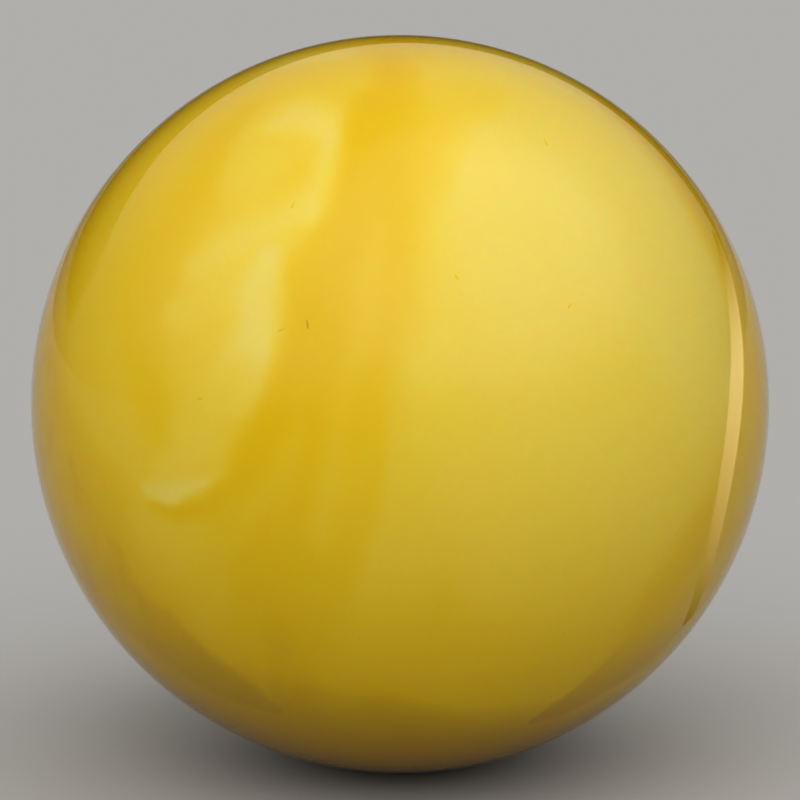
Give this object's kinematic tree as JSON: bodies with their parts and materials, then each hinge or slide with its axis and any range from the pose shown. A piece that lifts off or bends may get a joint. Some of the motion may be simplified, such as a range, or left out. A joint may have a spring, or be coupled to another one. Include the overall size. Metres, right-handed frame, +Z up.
{
  "type": "cue ball",
  "caption": "Marbled cue ball: a plain polished sphere cast from swirled amber and pearl resin, rolled by a cue on a cloth-covered table.",
  "frame": {"origin": "centre of the ball", "axes": "+Z up from the table, -Y towards the side with the marbled lobe at its upper left, +X to that side's right"},
  "size_m": [0.0572, 0.0572, 0.0572],
  "materials": {
    "amber_resin": "cast phenolic resin, translucent honey amber, ground and polished to a high gloss",
    "pearl_resin": "cast phenolic resin, pale pearly yellow with soft swirls, ground and polished to a high gloss"
  },
  "bodies": {
    "root": {"amber_resin_body": "amber_resin", "pearl_resin_lobe": "pearl_resin", "pearl_resin_ribbon": "pearl_resin", "pearl_resin_field": "pearl_resin"}
  },
  "joints": []
}
